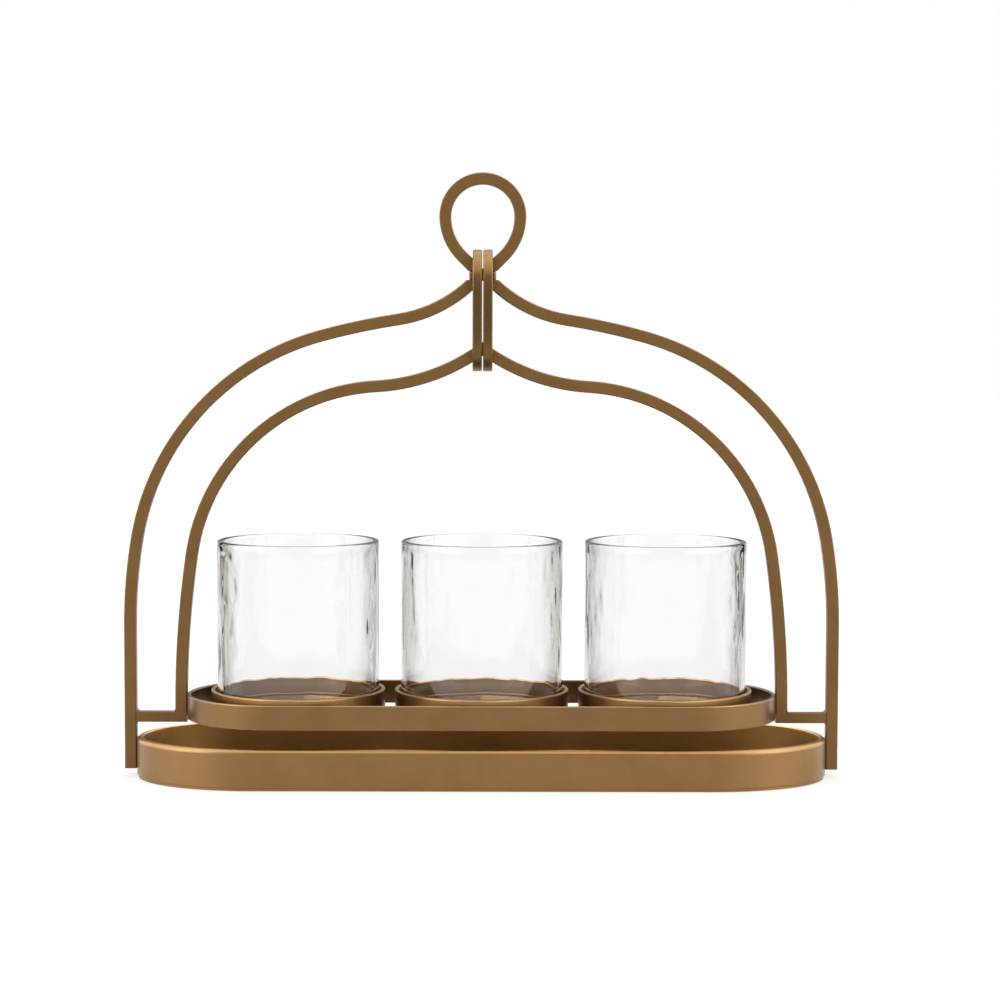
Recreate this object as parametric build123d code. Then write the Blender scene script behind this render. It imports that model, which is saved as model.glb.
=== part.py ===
from build123d import *
import os
from math import cos, radians, sin, sqrt, tan

# Hurricane candle stand: an oval tray, a raised band with three cups and glasses, and two arches of
# square bar that meet in a ring and are tied together by a pair of links.
# Millimetres, +Z up, front towards -Y, origin on the table under the middle of the tray.

# Fits
seat_gap = 0.3              # left between curved faces that touch on the real stand
glass_clearance = 1.5       # all round between a glass and its cup

# Square bar of the arches, ring and struts
bar = 7.4
bar_edge = 0.7              # rounding of the bar's long edges
weld_radius = 2.0           # concave weld at the corners of a strut

# Glass hurricanes
glass_diameter = 101.6
glass_height = 108.7
glass_wall = 3.4
glass_base = 7.5
glass_base_round = 7.0      # inside corner between wall and base
glass_heel_round = 2.5      # outside corner at the foot
glass_rim_round = 1.5
glass_foot_width = 9.0      # ring that the glass stands on
glass_foot_recess = 0.8

# Cups
cup_wall = 2.3
cup_height = 17.0
cup_floor = 2.0
cup_heel_round = 3.0
cup_corner_round = 1.2
cup_rim_round = 0.8
cup_gap = 6.3               # between neighbouring cups

# Upper band
band_wall = 2.4
band_height = 15.0
band_base = 37.5
band_edge_round = 0.8
band_end_room = 12.8        # from the last cup to the inside of the band's end
cup_rise = 3.0              # how far the cups stand above the band

# Struts between the outer and inner legs
strut_height = 6.2
strut_top = 40.2

# Lower tray
tray_half_depth = 57.4
tray_end_length = 76.0      # length of the half-oval at each end
tray_height = 25.5
tray_wall = 4.0
tray_lip_round = 2.8        # outer side of the rolled top edge
tray_lip_inner_round = 1.0
tray_foot_round = 0.6
tray_plate = 1.6            # thickness of the floor plate
tray_plate_inset = 0.8      # the plate stops this far inside the wall's face

# Arches
leg_spacing = 31.9          # from the inner leg to the outer leg, centre to centre
foot_clearance = 4.4        # the legs stop short of the table
neck_height = 314.8         # middle of the block in the neck
arch_head_offset = 4.9      # bar centre to mid-plane under the block
neck_slope = 45.0
neck_straight = 8.0
ogee_radius = 85.0
ogee_slope = 8.8            # flattest slope of the outer arch
haunch_radius = 430.0
haunch_slope = 15.5
outer_leg_radius = 325.0
outer_leg_slope = 80.3
apex_drop = 45.6            # from the block down to the bar centre at the inner arch's point
apex_slope = 33.0
apex_straight = 7.0
inner_ogee_radius = 123.7
inner_ogee_slope = 3.2
inner_leg_radius = 665.0
inner_leg_slope = 81.7

# Ring and the block under it
ring_radius = 23.35         # bar centre, upper half
ring_lower_radius = 34.6
ring_foot_offset = 3.7      # bar centre to mid-plane on top of the block
block_length = 17.0
block_height = 5.6
block_edge = 1.2

# Links
link_width = 5.85
link_gap = 0.7              # between the two links
link_bar = 4.8
link_depth = 36.0
link_outer_round = 0.9
link_inner_round = 0.5

# Places that follow from the sizes above
cup_radius = glass_diameter / 2 + glass_clearance + cup_wall
cup_pitch = 2 * cup_radius + cup_gap
cup_base = band_base + band_height + cup_rise - cup_height
glass_foot = cup_base + cup_floor
band_half_depth = cup_radius + seat_gap + band_wall
band_half_length = cup_pitch + cup_radius + band_end_room + band_wall
inner_half_span = band_half_length + seat_gap + bar / 2
outer_half_span = inner_half_span + leg_spacing
tray_half_length = outer_half_span - bar / 2 - seat_gap
apex_height = neck_height - apex_drop
block_top = neck_height + block_height / 2
block_bottom = neck_height - block_height / 2


def run_across(start_slope, end_slope, radius):
    """Length along X of an arc whose slope below the horizontal goes from one angle to another."""
    return radius * abs(sin(radians(end_slope)) - sin(radians(start_slope)))


def shoulder_radius(half_span, straight, first_slope, bends, shoulder):
    """Radius of the one free arc that brings a chain of bends out to its leg."""
    reach = straight * cos(radians(first_slope))
    slope = first_slope
    for radius, next_slope in bends:
        if radius is not None:
            reach += run_across(slope, next_slope, radius)
        slope = next_slope
    return (half_span - reach) / run_across(shoulder[0], shoulder[1], 1)


def arch_path(top, first_slope, straight, bends, foot):
    """Centre line of half an arch in the X-Z plane: a straight, tangent arcs, and the leg."""
    slope = radians(first_slope)
    end = (top[0] + straight * cos(slope), top[1] - straight * sin(slope))
    pieces = [Line(top, end)]
    heading = first_slope
    for radius, next_slope in bends:
        pieces.append(JernArc(pieces[-1] @ 1, pieces[-1] % 1, radius, heading - next_slope))
        heading = next_slope
    knee = pieces[-1] @ 1
    if knee.Y > foot:
        pieces.append(Line(knee, (knee.X, foot)))
    return Plane.XZ * Wire(pieces)


def bend_bar(path):
    """Sweep the rounded square bar along a centre line that lies in the X-Z plane."""
    start = Plane(origin=path @ 0, x_dir=(0, 1, 0), z_dir=path % 0)
    return sweep(start * RectangleRounded(bar, bar, bar_edge), path)


def keep_right(shape, foot, top):
    """Keep what lies right of the mid-plane, between the levels of the foot and the top."""
    room = outer_half_span + bar
    return shape & Pos(room / 2, 0, (foot + top) / 2) * Box(room, 2 * bar, top - foot)


def outer_arch():
    bends = [(ogee_radius, ogee_slope), (haunch_radius, haunch_slope), (None, outer_leg_slope),
             (outer_leg_radius, 90.0)]
    radius = shoulder_radius(outer_half_span, neck_straight, neck_slope, bends,
                             (haunch_slope, outer_leg_slope))
    bends[2] = (radius, outer_leg_slope)
    top = (0, block_bottom + arch_head_offset * tan(radians(neck_slope)))
    path = arch_path(top, neck_slope, neck_straight, bends, foot_clearance)
    return keep_right(bend_bar(path), foot_clearance, block_bottom)


def inner_arch():
    """Half of the small arch. It starts behind the mid-plane, so the cut leaves a full mitre."""
    bends = [(inner_ogee_radius, inner_ogee_slope), (None, inner_leg_slope), (inner_leg_radius, 90.0)]
    radius = shoulder_radius(inner_half_span, apex_straight, apex_slope, bends,
                             (inner_ogee_slope, inner_leg_slope))
    bends[1] = (radius, inner_leg_slope)
    lead = bar * tan(radians(apex_slope))
    start = (-lead * cos(radians(apex_slope)), apex_height + lead * sin(radians(apex_slope)))
    path = arch_path(start, apex_slope, lead + apex_straight, bends, strut_top)
    return keep_right(bend_bar(path), strut_top, apex_height + bar)


def top_ring():
    """Pear-shaped ring: half a circle on two longer arcs that run straight onto the block."""
    rise = radians(neck_slope)
    foot = (0, block_top - ring_foot_offset * tan(rise))
    straight = (ring_radius - ring_lower_radius * (1 - sin(rise))) / cos(rise)
    pieces = [Line(foot, (straight * cos(rise), foot[1] + straight * sin(rise)))]
    pieces.append(JernArc(pieces[0] @ 1, pieces[0] % 1, ring_lower_radius, 90 - neck_slope))
    pieces.append(JernArc(pieces[1] @ 1, pieces[1] % 1, ring_radius, 90))
    half = bend_bar(Plane.XZ * Wire(pieces))
    ring = half + mirror(half, about=Plane.YZ)
    room = 4 * ring_radius
    return ring - Pos(0, 0, block_top - room / 2) * Box(room, room, room)


def neck_block():
    block = Pos(0, 0, neck_height) * Box(block_length, bar, block_height)
    return fillet(block.edges(), block_edge)


def link(side):
    """Long oval link around the neck and the inner arch's point, standing fore and aft."""
    outside = link_gap / 2 + link_width
    tilt = tan(radians(neck_slope))
    bar_half = bar / 2
    inner_radius = link_depth / 2 - link_bar
    sag = inner_radius - sqrt(inner_radius ** 2 - bar_half ** 2)
    ring_crotch = block_top - ring_foot_offset * tilt + bar_half / cos(radians(neck_slope))
    inside_top = ring_crotch + outside * tilt + sag + seat_gap
    apex_under = apex_height - bar_half / cos(radians(apex_slope))
    inside_bottom = apex_under - outside * tan(radians(apex_slope)) - sag - seat_gap
    inside_length = inside_top - inside_bottom
    middle = (inside_top + inside_bottom) / 2
    outer = SlotOverall(inside_length + 2 * link_bar, link_depth, rotation=90)
    inner = SlotOverall(inside_length, link_depth - 2 * link_bar, rotation=90)
    ring = extrude(Plane.YZ * (outer - inner), link_width / 2, both=True)
    sides = ring.faces().sort_by(Axis.X)
    ring = fillet(sides[0].outer_wire().edges() + sides[-1].outer_wire().edges(), link_outer_round)
    sides = ring.faces().sort_by(Axis.X)
    holes = sides[0].inner_wires() + sides[-1].inner_wires()
    ring = fillet(holes.edges(), link_inner_round)
    return Pos(side * (link_gap + link_width) / 2, 0, middle) * ring


def strut():
    """Cross bar from the outer leg to the band, with its welds against both legs."""
    left = inner_half_span - bar / 2
    leg = inner_half_span + bar / 2
    right = outer_half_span - bar / 2
    base = strut_top - strut_height
    r = weld_radius
    outline = [
        Line((left, base), (right - r, base)),
        JernArc((right - r, base), (1, 0), r, -90),
        Line((right, base - r), (right, strut_top + r)),
        JernArc((right, strut_top + r), (0, -1), r, -90),
        Line((right - r, strut_top), (leg + r, strut_top)),
        JernArc((leg + r, strut_top), (-1, 0), r, -90),
        Line((leg, strut_top + r), (leg, strut_top)),
        Line((leg, strut_top), (left, strut_top)),
        Line((left, strut_top), (left, base)),
    ]
    return extrude(make_face(Plane.XZ * Wire(outline)), bar / 2, both=True)


def upper_band():
    outer = SlotOverall(2 * band_half_length, 2 * band_half_depth)
    inner = SlotOverall(2 * (band_half_length - band_wall), 2 * (band_half_depth - band_wall))
    band = Pos(0, 0, band_base) * extrude(outer - inner, band_height)
    return fillet(band.faces().sort_by(Axis.Z)[-1].edges(), band_edge_round)


def oval(inset):
    """The tray's plan: straight sides and half-oval ends, drawn in by an inset."""
    side = tray_half_length - tray_end_length
    depth = tray_half_depth - inset
    length = tray_end_length - inset
    outline = [
        Line((-side, -depth), (side, -depth)),
        EllipticalCenterArc((side, 0), length, depth, start_angle=-90, arc_size=180),
        Line((side, depth), (-side, depth)),
        EllipticalCenterArc((-side, 0), length, depth, start_angle=90, arc_size=180),
    ]
    return make_face(Wire(outline))


def lower_tray_wall():
    wall = extrude(oval(0) - oval(tray_wall), tray_height - tray_plate)
    lip = wall.faces().sort_by(Axis.Z)[-1]
    wall = fillet(lip.outer_wire().edges(), tray_lip_round)
    lip = wall.faces().sort_by(Axis.Z)[-1]
    wall = fillet(lip.inner_wires()[0].edges(), tray_lip_inner_round)
    foot = wall.faces().sort_by(Axis.Z)[0]
    wall = fillet(foot.outer_wire().edges(), tray_foot_round)
    return Pos(0, 0, tray_plate) * wall


def lower_tray_floor():
    return extrude(oval(tray_plate_inset), tray_plate)


def cup():
    """Shallow dish with an upright wall, drawn from its half section."""
    inner_radius = cup_radius - cup_wall
    body = Pos(0, 0, cup_height / 2) * Cylinder(cup_radius, cup_height)
    body = fillet(body.edges().sort_by(Axis.Z)[0], cup_heel_round)
    hollow_height = cup_height - cup_floor
    hollow = Pos(0, 0, cup_floor + hollow_height / 2) * Cylinder(inner_radius, hollow_height)
    hollow = fillet(hollow.edges().sort_by(Axis.Z)[0], cup_corner_round)
    body = body - hollow
    rim = body.faces().filter_by(GeomType.PLANE).sort_by(Axis.Z)[-1]
    return Pos(0, 0, cup_base) * fillet(rim.edges(), cup_rim_round)


def glass():
    """Straight hurricane with a melted rim, a thick base and a shallow recess under it."""
    radius = glass_diameter / 2
    body = Pos(0, 0, glass_height / 2) * Cylinder(radius, glass_height)
    body = fillet(body.edges().sort_by(Axis.Z)[0], glass_heel_round)
    hollow_height = glass_height - glass_base
    hollow = Pos(0, 0, glass_base + hollow_height / 2) * Cylinder(radius - glass_wall, hollow_height)
    body -= fillet(hollow.edges().sort_by(Axis.Z)[0], glass_base_round)
    rim = body.faces().filter_by(GeomType.PLANE).sort_by(Axis.Z)[-1]
    body = fillet(rim.edges(), glass_rim_round)
    recess_radius = radius - glass_heel_round - glass_foot_width
    body -= Pos(0, 0, glass_foot_recess / 2) * Cylinder(recess_radius, glass_foot_recess)
    return Pos(0, 0, glass_foot) * body


def build():
    nodes = {
        "lower_tray_wall": lower_tray_wall(),
        "lower_tray_floor": lower_tray_floor(),
        "upper_band": upper_band(),
        "top_ring": top_ring(),
        "neck_block": neck_block(),
    }
    for name, piece in (("outer_arch", outer_arch()), ("inner_arch", inner_arch()), ("strut", strut())):
        nodes[name + "_right"] = piece
        nodes[name + "_left"] = mirror(piece, about=Plane.YZ)
    for name, side in (("left", -1), ("right", 1)):
        nodes["link_" + name] = link(side)
    for name, place in (("left", -1), ("center", 0), ("right", 1)):
        nodes["cup_" + name] = Pos(place * cup_pitch, 0, 0) * cup()
        nodes["glass_" + name] = Pos(place * cup_pitch, 0, 0) * glass()
    return nodes


os.makedirs("parts", exist_ok=True)
for node_name, solid in build().items():
    export_step(solid, os.path.join("parts", node_name + ".step"))
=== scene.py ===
# %% [markdown]
# # A hurricane candle stand in antique bronze and rippled glass
#
# The real stand is bent and welded out of square bar and flat bar, then given one satin antique
# bronze finish. Three straight glass hurricanes stand loose in its cups. The solids already
# have the right shapes and sizes, so this lesson loads them as they are, gives the metal its
# finish, and makes the glasses again with the ripples that the plain solids leave out. All
# lengths are in metres.

import bpy
import math
from mathutils import Matrix, Vector, noise


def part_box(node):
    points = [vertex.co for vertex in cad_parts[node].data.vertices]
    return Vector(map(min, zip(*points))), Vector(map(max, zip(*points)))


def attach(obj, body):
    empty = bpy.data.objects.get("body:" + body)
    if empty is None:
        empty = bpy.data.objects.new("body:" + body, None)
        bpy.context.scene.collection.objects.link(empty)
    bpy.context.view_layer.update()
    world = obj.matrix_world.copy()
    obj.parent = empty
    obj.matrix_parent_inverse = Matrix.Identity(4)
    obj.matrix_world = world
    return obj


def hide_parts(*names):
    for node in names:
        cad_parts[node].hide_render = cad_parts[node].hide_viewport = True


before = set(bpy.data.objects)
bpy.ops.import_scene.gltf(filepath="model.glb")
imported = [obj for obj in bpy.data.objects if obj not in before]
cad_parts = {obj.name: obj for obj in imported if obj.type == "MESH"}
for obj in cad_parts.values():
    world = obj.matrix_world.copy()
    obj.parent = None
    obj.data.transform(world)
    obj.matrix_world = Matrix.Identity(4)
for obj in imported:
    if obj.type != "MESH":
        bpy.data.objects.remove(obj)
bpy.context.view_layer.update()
scene = bpy.context.scene

# %% [markdown]
# ## The camera
#
# The photograph was taken from a little to the right of the middle, about a metre and a half
# away and slightly below the top of the arches. Its upright edges look parallel, because the
# lens is long. The camera is placed by its eye point and by how far the middle of the picture
# lies from straight ahead. A very small roll matches the photograph, where the right-hand foot
# lies two pixels lower.

# %% Place the camera
eye_point = Vector((0.0023, -1.5500, 0.2843))
focal_pixels = 2468.0
picture_pixels = 1000
sensor_width = 36.0
right_of_axis = 14.2 / focal_pixels
below_axis = 174.9 / focal_pixels
camera_roll = 0.0031


def camera_matrix():
    """Matrix of a camera at the eye point that looks through the middle of the picture."""
    forward = Vector((right_of_axis, 1.0, -below_axis)).normalized()
    level = forward.cross(Vector((0, 0, 1))).normalized()
    upward = level.cross(forward).normalized()
    right = level * math.cos(camera_roll) + upward * math.sin(camera_roll)
    upward = right.cross(forward).normalized()
    turn = Matrix((right, upward, -forward)).transposed().to_4x4()
    return Matrix.Translation(eye_point) @ turn


view_data = bpy.data.cameras.new("photo_view")
view_data.sensor_width = sensor_width
stretch = math.sqrt(1 + right_of_axis ** 2 + below_axis ** 2)
view_data.lens = sensor_width * focal_pixels * stretch / picture_pixels
view_data.clip_end = 50
photo_view = bpy.data.objects.new("photo_view", view_data)
photo_view.matrix_world = camera_matrix()
scene.collection.objects.link(photo_view)
scene.camera = photo_view
print("lens in mm:", round(view_data.lens, 2))

# %% [markdown]
# ## The white studio
#
# The photograph has a plain white ground. Here a wide floor is lit like any matt white surface,
# and a little light of its own lifts it to white without more lamps on the object, so the
# shadow of the stand stays. Seen through the glass that light is a little weaker, so the
# glasses look faintly grey against the ground, as in the photograph. The world is white where
# the camera looks straight at it. What the metal mirrors is graded by direction, dark in front
# and brighter at the sides and overhead, because a curved satin bar only reads as round when it
# mirrors something uneven.

# %% Helpers that build node materials
def new_material(name):
    """A material with an empty node tree, and a function that adds and wires a node."""
    material = bpy.data.materials.new(name)
    material.use_nodes = True
    material.node_tree.nodes.clear()
    return material, node_adder(material.node_tree)


def node_adder(tree):
    """A function that adds a node, with i0, i1 and so on for sockets that are known by number."""
    def add(kind, settings=None, **inputs):
        node = tree.nodes.new(kind)
        for key, value in (settings or {}).items():
            setattr(node, key, value)
        for key, value in inputs.items():
            name = key.replace("_", " ")
            numbered = key[0] == "i" and key[1:].isdigit()
            socket = node.inputs[int(key[1:]) if numbered else name]
            if isinstance(value, bpy.types.NodeSocket):
                tree.links.new(value, socket)
            else:
                socket.default_value = value
        return node
    return add


# %% The floor
floor_grey = 0.32
light_near = 0.655
light_far = 0.80
through_glass = 0.87
floor_paint, add = new_material("studio_floor")
rays = add("ShaderNodeLightPath")
seen = add("ShaderNodeMath", {"operation": "MAXIMUM"}, i0=rays.outputs["Is Camera Ray"],
           i1=rays.outputs["Is Glossy Ray"])
seen = add("ShaderNodeMath", {"operation": "MAXIMUM"}, i0=seen.outputs[0],
           i1=rays.outputs["Is Transmission Ray"])
spot = add("ShaderNodeTexCoord").outputs["Object"]
away = add("ShaderNodeVectorMath", {"operation": "LENGTH"}, Vector=spot)
own_light = add("ShaderNodeMapRange", Value=away.outputs["Value"], From_Min=0.4, From_Max=3.2,
                To_Min=light_near, To_Max=light_far)
lift = add("ShaderNodeMath", {"operation": "MULTIPLY"}, i0=seen.outputs[0],
           i1=own_light.outputs[0])
dimmer = add("ShaderNodeMapRange", Value=rays.outputs["Is Transmission Ray"], To_Min=1.0,
             To_Max=through_glass)
lift = add("ShaderNodeMath", {"operation": "MULTIPLY"}, i0=lift.outputs[0], i1=dimmer.outputs[0])
matt = add("ShaderNodeBsdfPrincipled", Base_Color=(floor_grey, floor_grey, floor_grey, 1),
           Roughness=0.9, Emission_Color=(1, 1, 1, 1), Emission_Strength=lift.outputs[0])
add("ShaderNodeOutputMaterial", Surface=matt.outputs[0])

floor_mesh = bpy.data.meshes.new("studio_floor")
half = 8.0
floor_drop = 0.0003
floor_mesh.from_pydata([(-half, -half, 0), (half, -half, 0), (half, half, 0), (-half, half, 0)],
                       [], [(0, 1, 2, 3)])
studio_floor = bpy.data.objects.new("studio_floor", floor_mesh)
studio_floor.location.z = -floor_drop
studio_floor.data.materials.append(floor_paint)
scene.collection.objects.link(studio_floor)
print("floor:", 2 * half, "m square")

# %% The world
soft_fill = 0.62
mirrored_front, mirrored_side, mirrored_overhead = 0.42, 2.75, 1.9
glass_front, glass_side = 0.97, 0.66
room = bpy.data.worlds.new("studio_room")
room.use_nodes = True
room.node_tree.nodes.clear()
scene.world = room
add = node_adder(room.node_tree)
rays = add("ShaderNodeLightPath")
direction = add("ShaderNodeTexCoord")
axes = add("ShaderNodeSeparateXYZ", Vector=direction.outputs["Generated"])
sideways = add("ShaderNodeMath", {"operation": "ABSOLUTE"}, i0=axes.outputs["X"])
smooth = {"interpolation_type": "SMOOTHSTEP"}
sides = add("ShaderNodeMapRange", smooth, Value=sideways.outputs[0], From_Min=0.15, From_Max=0.85,
            To_Min=mirrored_front, To_Max=mirrored_side)
ceiling = add("ShaderNodeMapRange", smooth, Value=axes.outputs["Z"], From_Min=0.35, From_Max=0.9,
              To_Min=0.0, To_Max=mirrored_overhead)
mirrored = add("ShaderNodeMath", {"operation": "ADD"}, i0=sides.outputs[0], i1=ceiling.outputs[0])
through = add("ShaderNodeMapRange", smooth, Value=sideways.outputs[0], From_Min=0.25, From_Max=0.8,
              To_Min=glass_front, To_Max=glass_side)
strength = add("ShaderNodeMix", {"data_type": "FLOAT"}, Factor=rays.outputs["Is Glossy Ray"],
               i2=soft_fill, i3=mirrored.outputs[0])
strength = add("ShaderNodeMix", {"data_type": "FLOAT"}, Factor=rays.outputs["Is Transmission Ray"],
               i2=strength.outputs[0], i3=through.outputs[0])
strength = add("ShaderNodeMix", {"data_type": "FLOAT"}, Factor=rays.outputs["Is Camera Ray"],
               i2=strength.outputs[0], i3=1.0)
print("mirrored front, side and overhead:", mirrored_front, mirrored_side, mirrored_overhead)
glow = add("ShaderNodeBackground", Color=(1, 1, 1, 1), Strength=strength.outputs[0])
add("ShaderNodeOutputWorld", Surface=glow.outputs[0])

# %% The lamps
def softbox(name, place, target, width, height, watts):
    """A rectangular lamp that faces a target."""
    lamp = bpy.data.lights.new(name, "AREA")
    lamp.shape = "RECTANGLE"
    lamp.size = width
    lamp.size_y = height
    lamp.energy = watts
    holder = bpy.data.objects.new(name, lamp)
    holder.location = place
    aim = Vector(target) - Vector(place)
    holder.rotation_euler = aim.to_track_quat("-Z", "Y").to_euler()
    scene.collection.objects.link(holder)
    print(name, "at", place, "with", watts, "W")


middle = (0, 0, 0.12)
softbox("left_softbox", (-1.5, -0.9, 0.9), middle, 0.9, 1.4, 10)
softbox("right_softbox", (1.5, -0.9, 0.9), middle, 0.9, 1.4, 9)
softbox("front_softbox", (0.1, -2.2, 1.7), middle, 1.6, 0.8, 7)
softbox("top_softbox", (0, 0.3, 1.9), middle, 1.8, 1.2, 9)
scene.view_settings.view_transform = "Standard"

# %% [markdown]
# ## The bronze finish
#
# The real stand has one finish: a warm brown metal, satin rather than polished, with a faint
# grain and slightly uneven colour where the patina is thicker. A metallic surface whose colour
# drifts between two browns gives the patina. A second, finer noise drives the roughness and a
# very shallow bump, so highlights break up softly as they do on brushed and lacquered metal.
# The pattern is placed by the object's own coordinates, so it stays put on each piece.
#
# This studio isn't the one in the photograph, and with one tone the arches came out too light
# and the insides of the tray and cups too dark. So each group of pieces has its own tone, and
# the inner faces of tray, band and cups have one more. They stand in for light, and aren't a
# second paint.

# %% Bronze
dark_brown = (0.215, 0.112, 0.036)
light_brown = (0.243, 0.130, 0.045)


def bronze(name, lighting_tone, gloss, coat=0.35, inside=None, shade=None):
    """Satin antique bronze: two browns, uneven roughness and a fine grain.

    The lighting tone makes both browns lighter or darker; above one it is painted light and below
    one painted shade. The colour inside does so once more on faces that look towards the middle of
    the piece, again as painted light above one and painted shade below one. A shade (middle height,
    half length, how dark) is painted shade that darkens a piece between its two ends.
    """
    material, add = new_material(name)
    place = add("ShaderNodeTexCoord").outputs["Object"]
    patina = add("ShaderNodeTexNoise", Vector=place, Scale=38.0, Detail=5.0, Roughness=0.6)
    drift = add("ShaderNodeMapRange", Value=patina.outputs["Fac"], From_Min=0.35, From_Max=0.65)
    dark = [lighting_tone * part for part in dark_brown] + [1.0]
    light = [lighting_tone * part for part in light_brown] + [1.0]
    colour = add("ShaderNodeMix", {"data_type": "RGBA"}, Factor=drift.outputs[0], i6=dark,
                 i7=light).outputs[2]
    # Painted light on faces that look towards the middle where the colour inside is above one,
    # painted shade where it is below one.
    if inside:
        share = add("ShaderNodeTexCoord").outputs["Generated"]
        level = add("ShaderNodeVectorMath", {"operation": "MULTIPLY_ADD"}, i0=share, i1=(1, 1, 0),
                    i2=(-0.5, -0.5, 0))
        outward = add("ShaderNodeVectorMath", {"operation": "DOT_PRODUCT"}, i0=level.outputs[0],
                      i1=add("ShaderNodeNewGeometry").outputs["Normal"])
        inward = add("ShaderNodeMapRange", Value=outward.outputs["Value"], From_Min=-0.05,
                     From_Max=-0.15)
        colour = add("ShaderNodeMix", {"data_type": "RGBA", "blend_type": "MULTIPLY"},
                     Factor=inward.outputs[0], i6=colour, i7=[*inside, 1.0]).outputs[2]
    # Painted shade: the piece is darkened between its two ends and keeps its colour at them.
    if shade:
        height = add("ShaderNodeSeparateXYZ", Vector=place).outputs["Z"]
        off = add("ShaderNodeMath", {"operation": "SUBTRACT"}, i0=height, i1=shade[0])
        off = add("ShaderNodeMath", {"operation": "ABSOLUTE"}, i0=off.outputs[0])
        end = add("ShaderNodeMapRange", smooth, Value=off.outputs[0], From_Min=shade[1] * 0.25,
                  From_Max=shade[1] * 0.95, To_Min=shade[2], To_Max=1.0)
        colour = add("ShaderNodeMix", {"data_type": "RGBA", "blend_type": "MULTIPLY"}, Factor=1.0,
                     i6=colour, i7=end.outputs[0]).outputs[2]
    grain = add("ShaderNodeTexNoise", Vector=place, Scale=900.0, Detail=3.0, Roughness=0.7)
    rough = add("ShaderNodeMapRange", Value=grain.outputs["Fac"], From_Min=0.3, From_Max=0.7,
                To_Min=gloss - 0.05, To_Max=gloss + 0.05)
    relief = add("ShaderNodeBump", Strength=0.06, Distance=0.0002, Height=grain.outputs["Fac"])
    metal = add("ShaderNodeBsdfPrincipled", Base_Color=colour, Metallic=1.0,
                Roughness=rough.outputs[0], Normal=relief.outputs[0], Coat_Weight=coat,
                Coat_Roughness=0.3)
    add("ShaderNodeOutputMaterial", Surface=metal.outputs[0])
    return material


# Lit and shaded copies of the one bronze finish: each tone is painted light above one and painted
# shade below one, the inner colours paint light into the tray and cups and shade into the band, and
# the link's shade is painted shade in its middle.
bar_bronze = bronze("bar_bronze", 0.77, 0.46, coat=0.2)
tray_bronze = bronze("tray_bronze", 1.10, 0.40, inside=(2.1, 2.4, 2.3))
band_bronze = bronze("band_bronze", 0.95, 0.33, inside=(0.8, 0.8, 0.8))
cup_bronze = bronze("cup_bronze", 1.25, 0.38, inside=(1.9, 2.0, 2.1))
link_bronze = bronze("link_bronze", 0.84, 0.42, coat=0.2, shade=(0.293, 0.038, 0.55))
lit_bronzes = {"lower": tray_bronze, "upper": band_bronze, "cup": cup_bronze, "link": link_bronze}
for name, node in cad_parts.items():
    if name.startswith("glass"):
        continue
    lit_bronze = lit_bronzes.get(name.split("_")[0], bar_bronze)
    node.data.materials.clear()
    node.data.materials.append(lit_bronze)
    print(name, "has", lit_bronze.name)

# %% [markdown]
# ## The rippled glasses
#
# Each hurricane is a straight cylinder, smooth outside and softly hammered inside, with a
# melted rim and a thick foot. It could be a shader bump on the plain solid, but a bump bends no
# silhouette and the ripples show as wavy grey bands just inside the edges. So the glass is
# turned as a mesh from its half section, and the inner wall is pushed inwards by a smooth noise
# that is stretched upwards, as the hammering of real glass is. The ripples fade out at the rim
# and, more slowly, towards the foot, because the photograph shows the cup's edge behind the
# glass as a nearly smooth line.

# %% Half section of a glass
glass_radius = 0.0508
glass_height = 0.1087
glass_wall = 0.0034
glass_base = 0.0075
heel_round = 0.0025
base_round = 0.007
rim_round = 0.0015
foot_width = 0.009
foot_recess = 0.0008
turn_steps = 240
wall_rows = 110


def arc(centre_r, centre_z, radius, start, end, steps):
    """Points on an arc of the half section, with angles in degrees."""
    points = []
    for i in range(steps + 1):
        angle = math.radians(start + (end - start) * i / steps)
        points.append((centre_r + radius * math.cos(angle), centre_z + radius * math.sin(angle)))
    return points


def half_section():
    """Half section from the middle of the underside, round the wall, to the middle of the floor."""
    outer = glass_radius
    inner = glass_radius - glass_wall
    recess = outer - heel_round - foot_width
    section = [(0.0, foot_recess), (recess - 0.0006, foot_recess), (recess, 0.0)]
    section += arc(outer - heel_round, heel_round, heel_round, -90, 0, 8)
    section += [(outer, glass_height * step / 12) for step in range(1, 12)]
    section += arc(outer - rim_round, glass_height - rim_round, rim_round, 0, 90, 6)
    section += arc(inner + rim_round, glass_height - rim_round, rim_round, 90, 180, 6)
    top = glass_height - rim_round
    bottom = glass_base + base_round
    section += [(inner, top + (bottom - top) * row / wall_rows) for row in range(1, wall_rows)]
    section += arc(inner - base_round, bottom, base_round, 0, -90, 10)
    section += [(0.02, glass_base), (0.0, glass_base)]
    return section


# %% Ripples
ripple_depth = 0.0011
ripple_width = 0.009
ripple_length = 0.030
plain_foot = 0.060


def fade(value, low, high):
    """Smooth step from 0 at low to 1 at high."""
    share = min(max((value - low) / (high - low), 0.0), 1.0)
    return share * share * (3 - 2 * share)


def ripple(angle, radius, height, seed):
    """How far the inner wall bulges inwards at one place."""
    at = Vector((radius * math.cos(angle) / ripple_width, radius * math.sin(angle) / ripple_width,
                 height / ripple_length + seed))
    wave = 0.5 + 0.5 * noise.noise(at) + 0.2 * noise.noise(at * 2.1)
    return ripple_depth * max(wave, 0.0)


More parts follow.
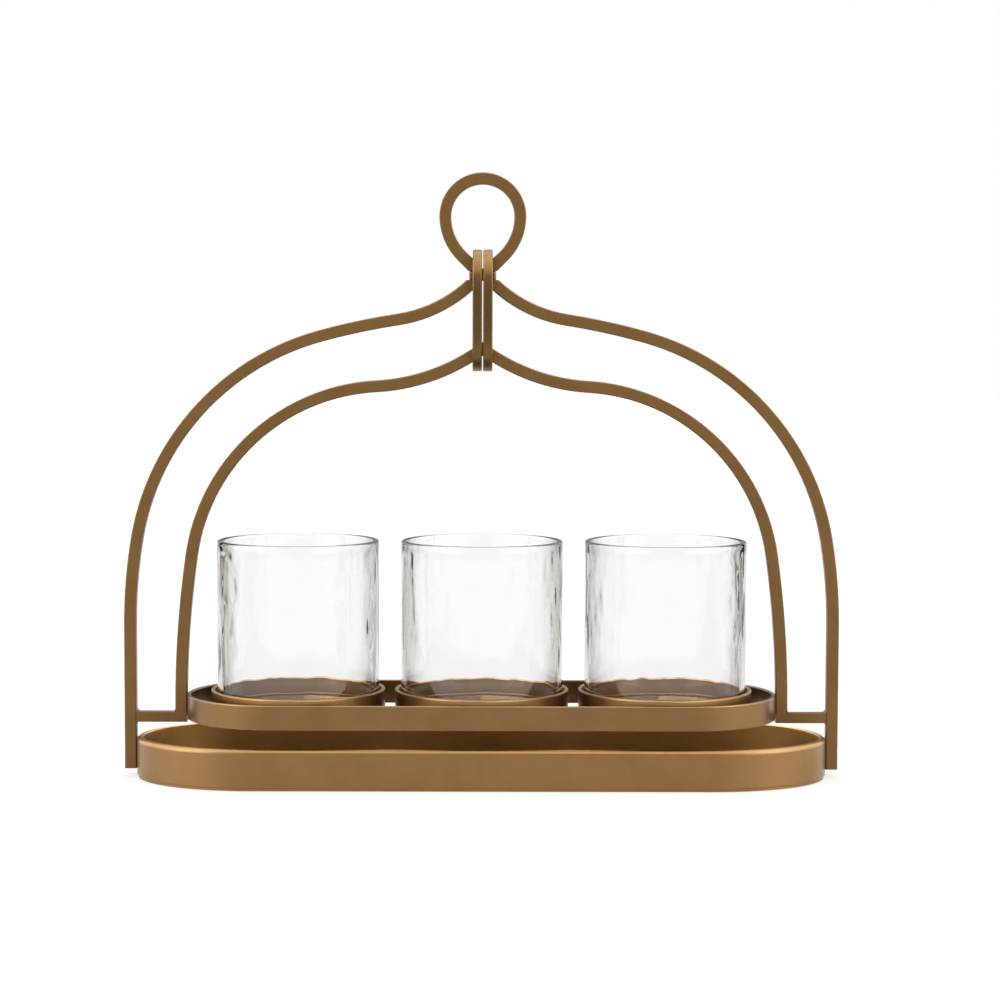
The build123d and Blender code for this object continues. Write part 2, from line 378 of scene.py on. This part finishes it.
def glass_mesh(name, seed):
    """Turn the half section, and ripple the inner wall."""
    section = half_section()
    inner = glass_radius - glass_wall
    vertices = [(0, 0, section[0][1])]
    for r, z in section[1:-1]:
        inside = r < inner + 1e-5 and z > glass_base + 0.0008
        weight = fade(glass_height - z, 0.0015, 0.010) * fade(z, glass_base, plain_foot)
        for i in range(turn_steps):
            angle = 2 * math.pi * i / turn_steps
            reach = r - (weight * ripple(angle, inner, z, seed) if inside else 0.0)
            vertices.append((reach * math.cos(angle), reach * math.sin(angle), z))
    vertices.append((0, 0, section[-1][1]))
    rows = len(section) - 2
    faces = []
    for row in range(rows - 1):
        low = 1 + row * turn_steps
        for i in range(turn_steps):
            j = (i + 1) % turn_steps
            faces.append((low + i, low + j, low + turn_steps + j, low + turn_steps + i))
    last = 1 + (rows - 1) * turn_steps
    for i in range(turn_steps):
        j = (i + 1) % turn_steps
        faces.append((0, 1 + j, 1 + i))
        faces.append((len(vertices) - 1, last + i, last + j))
    mesh = bpy.data.meshes.new(name)
    mesh.from_pydata(vertices, [], faces)
    mesh.polygons.foreach_set("use_smooth", [True] * len(mesh.polygons))
    mesh.update()
    return mesh


# %% [markdown]
# ## Clear glass
#
# A clear glass surface bends light, and a faint absorption inside it makes the edges a little
# greyer than the middle, because light travels further through the wall there. A painted shade on
# the glass colour, strongest where the upright wall slants away from view, greys the edges further.
# A glass lets most light through onto the table, so its shadow is mixed towards a clear one, which
# is close to what light really does.
#
# One thing here is chosen for the look. Real glass this thick would turn the foot into a grey
# mirror at this low angle, but the photograph shows the cup's floor through it. So the index of
# refraction falls from that of glass in the wall to almost that of air in the foot.

# %% Glass material
foot_index, wall_index = 1.06, 1.48
# Colour of the painted shade at the slanting glass edges.
painted_edge_grey = (0.50, 0.475, 0.435, 1)


def clear_glass():
    """Clear glass with a painted warm grey shade at its slanting edges, and a foot that bends light
    less than the wall does.
    """
    material, add = new_material("clear_glass")
    slant = add("ShaderNodeLayerWeight", Blend=0.5)
    edge = add("ShaderNodeMapRange", smooth, Value=slant.outputs["Facing"], From_Min=0.30,
               From_Max=0.78)
    facing_up = add("ShaderNodeSeparateXYZ", Vector=add("ShaderNodeNewGeometry").outputs["Normal"])
    facing_up = add("ShaderNodeMath", {"operation": "ABSOLUTE"}, i0=facing_up.outputs["Z"])
    upright = add("ShaderNodeMapRange", Value=facing_up.outputs[0], From_Min=0.3, From_Max=0.8,
                  To_Min=1.0, To_Max=0.0)
    amount = add("ShaderNodeMath", {"operation": "MULTIPLY"}, i0=edge.outputs[0],
                 i1=upright.outputs[0])
    # Painted shade: the glass colour greys where the upright wall slants away from view.
    painted_edge_shade = add("ShaderNodeMix", {"data_type": "RGBA"}, Factor=amount.outputs[0], i6=(1, 1, 1, 1),
                i7=painted_edge_grey).outputs[2]
    height = add("ShaderNodeSeparateXYZ", Vector=add("ShaderNodeTexCoord").outputs["Object"])
    bend = add("ShaderNodeMapRange", Value=height.outputs["Z"], From_Min=glass_base + 0.0005,
               From_Max=glass_base + 0.006, To_Min=foot_index, To_Max=wall_index)
    glass = add("ShaderNodeBsdfPrincipled", Base_Color=painted_edge_shade, Roughness=0.0,
                IOR=bend.outputs[0], Transmission_Weight=1.0)
    clear = add("ShaderNodeBsdfTransparent", Color=(0.93, 0.93, 0.92, 1))
    rays = add("ShaderNodeLightPath")
    mix = add("ShaderNodeMixShader", i0=rays.outputs["Is Shadow Ray"], i1=glass.outputs[0],
              i2=clear.outputs[0])
    tint = add("ShaderNodeVolumeAbsorption", Color=(0.50, 0.47, 0.41, 1), Density=15.0)
    add("ShaderNodeOutputMaterial", Surface=mix.outputs[0], Volume=tint.outputs[0])
    return material


glass_finish = clear_glass()
for seed, side in ((3.1, "left"), (11.7, "center"), (23.4, "right")):
    node_name = "glass_" + side
    low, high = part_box(node_name)
    mesh = glass_mesh("hurricane_" + side, seed)
    hurricane = bpy.data.objects.new("hurricane_glass_" + side, mesh)
    hurricane.location = ((low[0] + high[0]) / 2, (low[1] + high[1]) / 2, low[2])
    hurricane.data.materials.append(glass_finish)
    scene.collection.objects.link(hurricane)
    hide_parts(node_name)
    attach(hurricane, "hurricane_" + side)
    print(node_name, "foot at", round(low[2], 4), "faces", len(hurricane.data.polygons))
